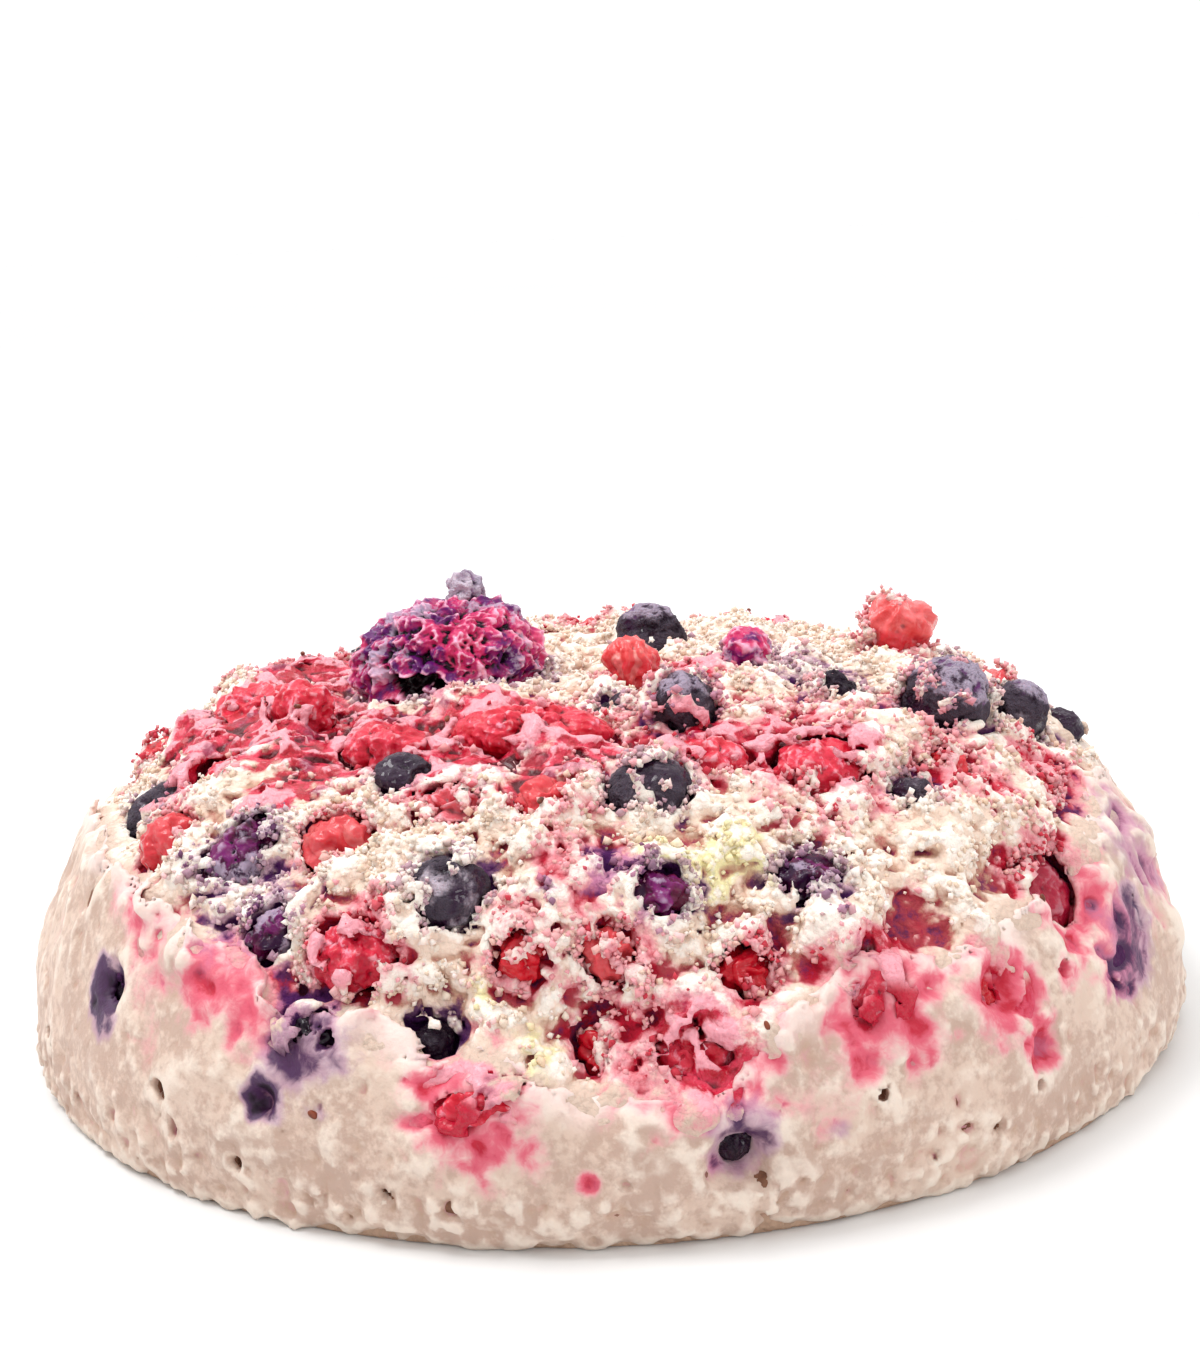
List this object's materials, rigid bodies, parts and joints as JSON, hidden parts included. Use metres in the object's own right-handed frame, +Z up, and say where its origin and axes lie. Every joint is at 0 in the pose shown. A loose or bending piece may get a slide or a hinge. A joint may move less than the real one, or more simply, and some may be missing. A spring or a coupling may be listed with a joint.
{
  "type": "berry bowl cake",
  "caption": "Low domed bowl cake of pale crumb with whole and crushed berries baked into its torn top and a smooth pinkish skin round its lower wall.",
  "frame": {"origin": "centre of the flat underside", "axes": "+Z up through the crown, -Y towards the side that the picture shows, +X to that side's right"},
  "size_m": [0.1311, 0.1323, 0.0504],
  "materials": {
    "cake": "moist open crumb over smooth pale pinkish skin",
    "bramble": "wet dark purple crushed fruit",
    "raspberry": "wet crimson crushed fruit",
    "redcurrant": "translucent red veined skin",
    "blueberry": "slate skin with a grey bloom"
  },
  "bodies": {
    "root": {"cake": "cake", "bramble_01": "bramble", "bramble_02": "bramble", "bramble_03": "bramble", "bramble_04": "bramble", "bramble_05": "bramble", "bramble_06": "bramble", "bramble_07": "bramble", "raspberry_01": "raspberry", "raspberry_02": "raspberry", "raspberry_03": "raspberry", "raspberry_04": "raspberry", "raspberry_05": "raspberry", "raspberry_06": "raspberry", "raspberry_07": "raspberry", "raspberry_08": "raspberry", "raspberry_09": "raspberry", "raspberry_10": "raspberry", "raspberry_11": "raspberry", "raspberry_12": "raspberry", "raspberry_13": "raspberry", "raspberry_14": "raspberry", "raspberry_15": "raspberry", "raspberry_16": "raspberry", "raspberry_17": "raspberry", "redcurrant_01": "redcurrant", "redcurrant_02": "redcurrant", "redcurrant_03": "redcurrant", "redcurrant_04": "redcurrant", "redcurrant_05": "redcurrant", "redcurrant_06": "redcurrant", "redcurrant_07": "redcurrant", "redcurrant_08": "redcurrant", "redcurrant_09": "redcurrant", "redcurrant_10": "redcurrant", "redcurrant_11": "redcurrant", "redcurrant_12": "redcurrant", "redcurrant_13": "redcurrant", "redcurrant_14": "redcurrant", "redcurrant_15": "redcurrant", "redcurrant_16": "redcurrant", "blueberry_01": "blueberry", "blueberry_02": "blueberry", "blueberry_03": "blueberry", "blueberry_04": "blueberry", "blueberry_05": "blueberry", "blueberry_06": "blueberry", "blueberry_07": "blueberry", "blueberry_08": "blueberry", "blueberry_09": "blueberry", "blueberry_10": "blueberry", "blueberry_11": "blueberry", "blueberry_12": "blueberry", "blueberry_13": "blueberry", "blueberry_14": "blueberry", "blueberry_15": "blueberry", "blueberry_16": "blueberry", "blueberry_17": "blueberry", "blueberry_18": "blueberry"}
  },
  "joints": []
}
